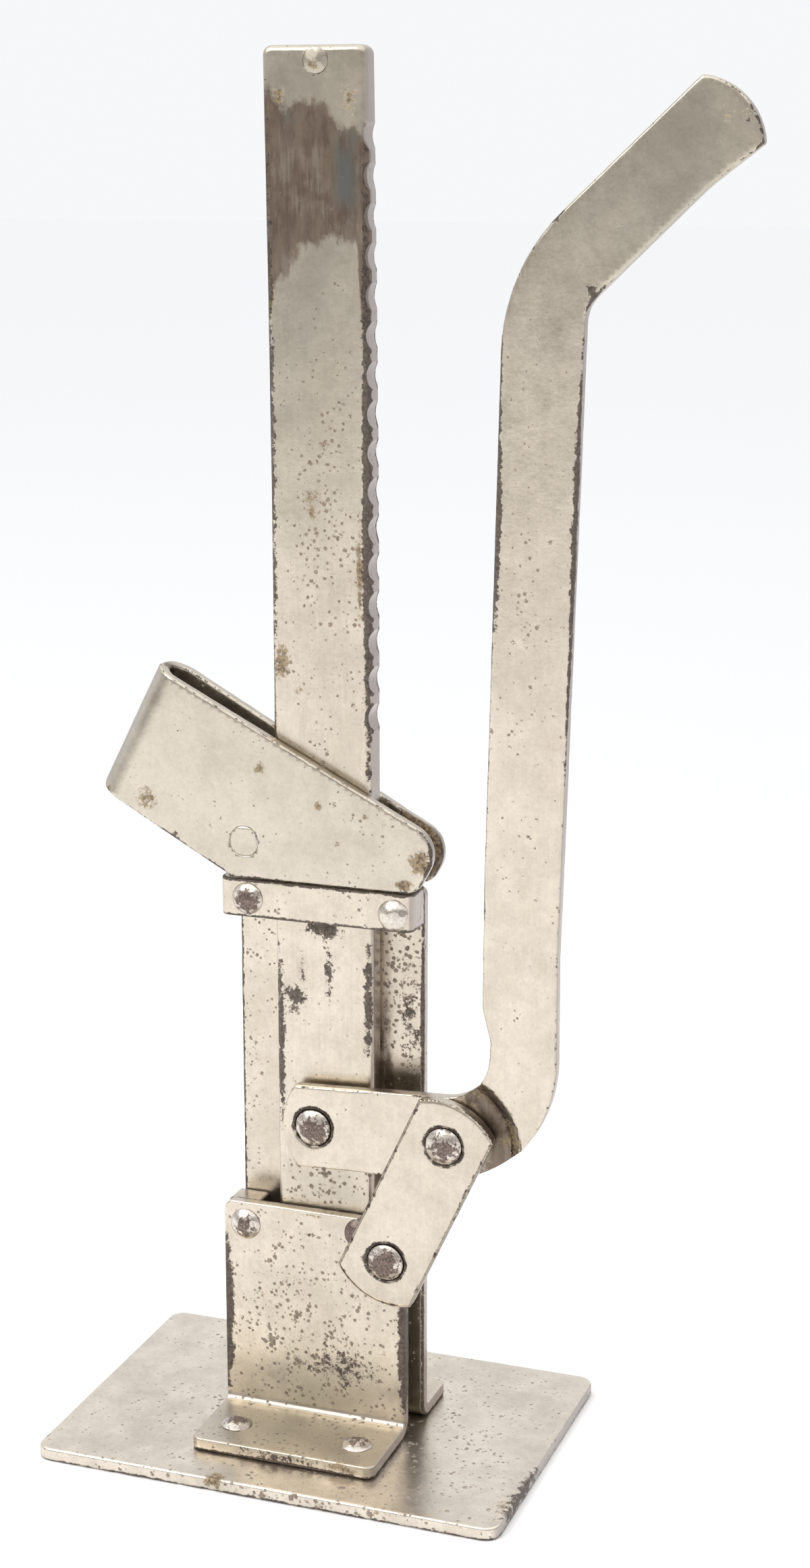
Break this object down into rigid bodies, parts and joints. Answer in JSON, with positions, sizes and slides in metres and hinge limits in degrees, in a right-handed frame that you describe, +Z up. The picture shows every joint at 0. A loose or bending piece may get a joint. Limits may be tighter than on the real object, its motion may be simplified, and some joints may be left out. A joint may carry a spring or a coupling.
{
  "type": "lever and rack jack",
  "caption": "Small lever-and-rack jack: a notched flat bar in a riveted plate mast, a J-shaped lever with a link, and a folded lifting clip on the bar.",
  "frame": {"origin": "centre of the base plate's underside", "axes": "+X to the jack's right, where the lever stands; +Y to the back, away from the link; +Z up along the rack bar"},
  "size_m": [0.0987, 0.0492, 0.2],
  "materials": {
    "plate_nickel": "worn satin nickel plate, pitted",
    "block_nickel": "dull nickel plate",
    "bar_nickel": "worn satin nickel plate with brown tarnish",
    "lever_nickel": "worn satin nickel plate, speckled",
    "clip_nickel": "worn satin nickel plate with rust spots",
    "rivet_steel": "hammered rivet heads, plating partly gone",
    "pin_steel": "domed pin ends, plating partly gone"
  },
  "bodies": {
    "frame": {"base_plate": "plate_nickel", "upright": "plate_nickel", "front_bracket": "plate_nickel", "left_spacer": "block_nickel", "right_spacer": "block_nickel", "guide_strap": "plate_nickel", "strap_rivets": "rivet_steel", "frame_rivet": "rivet_steel", "stop_rivet": "rivet_steel", "front_foot_rivets": "rivet_steel", "rear_foot_rivets": "rivet_steel", "base_washer": "block_nickel", "base_pin": "pin_steel"},
    "bar": {"rack_bar": "bar_nickel", "bar_rivet": "rivet_steel", "arm_washer": "block_nickel", "lever_pin": "pin_steel"},
    "lever": {"lever": "lever_nickel"},
    "link": {"link": "lever_nickel", "link_washer": "block_nickel", "link_pin": "pin_steel"},
    "dog": {"clip_dog_pin": "pin_steel"},
    "clip": {"clip_body": "clip_nickel", "clip_bearing_pin": "pin_steel"}
  },
  "joints": [
    {"name": "bar_lift", "type": "slide", "parent": "frame", "child": "bar", "axis": [0, 0, 1], "range_m": [0, 0.0164]},
    {"name": "lever_swing", "type": "hinge", "parent": "bar", "child": "lever", "pos_m": [0.0009, 0, 0.04925], "axis": [0, 1, 0], "range_deg": [0, 44]},
    {"name": "link_swing", "type": "hinge", "parent": "frame", "child": "link", "pos_m": [0.0129, 0, 0.0311], "axis": [0, 1, 0], "range_deg": [-12.6, 0]},
    {"name": "clip_slide", "type": "slide", "parent": "bar", "child": "dog", "axis": [0, 0, 1], "range_m": [0, 0.0905]},
    {"name": "clip_tilt", "type": "hinge", "parent": "dog", "child": "clip", "pos_m": [0.0118, 0, 0.0912], "axis": [0, 1, 0], "range_deg": [0, 6]}
  ],
  "couplings": [
    {"joint": "bar_lift", "follows": "lever_swing", "m_per_rad": 0.02135},
    {"joint": "link_swing", "follows": "lever_swing", "ratio": -0.2864}
  ]
}
